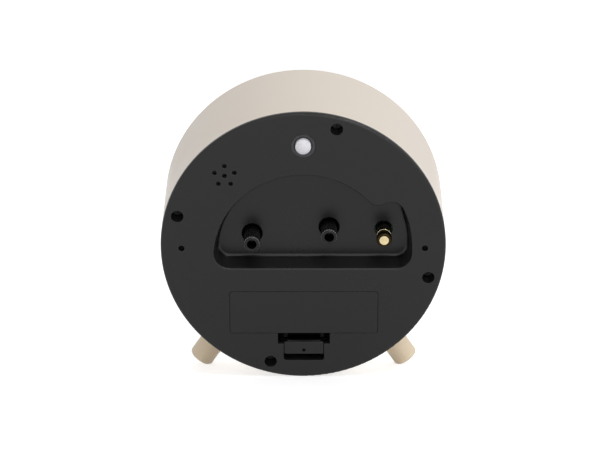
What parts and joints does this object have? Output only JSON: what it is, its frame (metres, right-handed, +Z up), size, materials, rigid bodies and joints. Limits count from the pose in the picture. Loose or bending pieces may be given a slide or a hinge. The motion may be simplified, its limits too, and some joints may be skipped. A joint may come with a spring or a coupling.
{
  "type": "table alarm clock",
  "caption": "Round battery table alarm clock that leans back on two peg feet, with a flat back cover, a control recess for two knobs and a pull pin, and a latched battery door.",
  "frame": {"origin": "on the table, below the middle of the clock's bounding box", "axes": "+Z up, +Y out of the back of the clock, +X to the right when the dial is faced"},
  "size_m": [0.11, 0.077, 0.1189],
  "materials": {
    "case_cream": "satin cream paint over moulded plastic",
    "cover_grey": "finely textured dark grey plastic",
    "foot_beige": "satin beige",
    "lens_clear": "clear polished lens",
    "dial_white": "matt off-white",
    "dial_face": "matt warm white",
    "hand_black": "matt black paint",
    "hand_brass": "brushed brass colour",
    "pin_brass": "polished turned brass",
    "brass": "turned brass",
    "steel": "bright nickel-plated steel",
    "screw_black": "blackened steel",
    "movement_grey": "dark grey moulded plastic",
    "wheel_white": "natural moulded plastic",
    "knob_black": "black moulded plastic with a slight sheen",
    "board_green": "green circuit board",
    "chip_black": "black moulded plastic",
    "button_white": "glossy translucent white",
    "lamp_yellow": "clear lamp body",
    "cell_grey": "plain silver-grey sleeve"
  },
  "bodies": {
    "case": {"case_body": "case_cream", "lens_ring": "case_cream", "lens": "lens_clear", "dial_ring": "dial_white", "dial": "dial_face", "hour_bars": "hand_black", "movement_base": "movement_grey", "movement_cover": "movement_grey", "centre_nut": "brass", "movement_screws": "steel", "alarm_switch": "movement_grey", "circuit_board": "board_green", "board_screws": "steel", "timer_chip": "chip_black", "tact_switch": "chip_black", "dial_lamps": "lamp_yellow", "sounder": "chip_black", "back_cover": "cover_grey", "cover_screws": "screw_black", "battery_cell": "cell_grey", "battery_spring": "steel", "battery_plate": "steel", "foot_left": "foot_beige", "foot_right": "foot_beige", "foot_screws": "steel"},
    "minute_hand": {"minute_hand": "hand_black", "minute_arbor": "brass"},
    "hour_hand": {"hour_hand": "hand_black", "hour_wheel": "wheel_white"},
    "motion_wheel": {"motion_wheel": "wheel_white"},
    "second_hand": {"second_hand": "hand_brass", "second_arbor": "steel", "second_cap": "hand_brass"},
    "alarm_hand": {"alarm_hand": "hand_brass", "alarm_wheel": "brass"},
    "time_knob": {"time_knob": "knob_black", "time_stem": "steel"},
    "alarm_knob": {"alarm_knob": "knob_black", "alarm_stem": "steel"},
    "alarm_pin": {"alarm_pin": "pin_brass"},
    "light_button": {"light_button": "button_white", "switch_plunger": "wheel_white"},
    "battery_door": {"battery_door": "cover_grey"},
    "door_latch": {"door_latch": "cover_grey"}
  },
  "joints": [
    {"name": "minute_turn", "type": "hinge", "parent": "case", "child": "minute_hand", "pos_m": [0, -0.01425, 0.06336], "axis": [0, 0.9641, -0.2656], "continuous": true},
    {"name": "hour_turn", "type": "hinge", "parent": "case", "child": "hour_hand", "pos_m": [0, -0.01425, 0.06336], "axis": [0, 0.9641, -0.2656], "continuous": true},
    {"name": "motion_wheel_turn", "type": "hinge", "parent": "case", "child": "motion_wheel", "pos_m": [0.0096, -0.01429, 0.0632], "axis": [0, 0.9641, -0.2656], "continuous": true},
    {"name": "time_knob_turn", "type": "hinge", "parent": "case", "child": "time_knob", "pos_m": [0.0198, 0.02463, 0.05463], "axis": [0, 0.9641, -0.2656], "continuous": true},
    {"name": "second_turn", "type": "hinge", "parent": "case", "child": "second_hand", "pos_m": [0, -0.01425, 0.06336], "axis": [0, 0.9641, -0.2656], "continuous": true},
    {"name": "alarm_turn", "type": "hinge", "parent": "case", "child": "alarm_hand", "pos_m": [0, -0.01425, 0.06336], "axis": [0, 0.9641, -0.2656], "continuous": true},
    {"name": "alarm_knob_turn", "type": "hinge", "parent": "case", "child": "alarm_knob", "pos_m": [-0.01, 0.02532, 0.05713], "axis": [0, 0.9641, -0.2656], "continuous": true},
    {"name": "alarm_pin_push", "type": "slide", "parent": "case", "child": "alarm_pin", "axis": [0, -0.9641, 0.2656], "range_m": [0, 0.003]},
    {"name": "light_button_push", "type": "slide", "parent": "case", "child": "light_button", "axis": [0, -0.9641, 0.2656], "range_m": [0, 0.001], "stiffness_N_per_m": 400, "springref_m": -0.0005},
    {"name": "battery_door_swing", "type": "hinge", "parent": "case", "child": "battery_door", "pos_m": [-0.0002, 0.01912, 0.03462], "axis": [1, 0, 0], "range_deg": [0, 75]},
    {"name": "door_latch_press", "type": "slide", "parent": "battery_door", "child": "door_latch", "axis": [0, 0.2656, 0.9641], "range_m": [0, 0.0015], "stiffness_N_per_m": 500, "springref_m": -0.0004}
  ],
  "couplings": [
    {"joint": "hour_turn", "follows": "minute_turn", "ratio": 0.083333},
    {"joint": "motion_wheel_turn", "follows": "minute_turn", "ratio": -0.33333},
    {"joint": "time_knob_turn", "follows": "minute_turn", "ratio": 0.75},
    {"joint": "alarm_knob_turn", "follows": "alarm_turn", "ratio": -2}
  ]
}
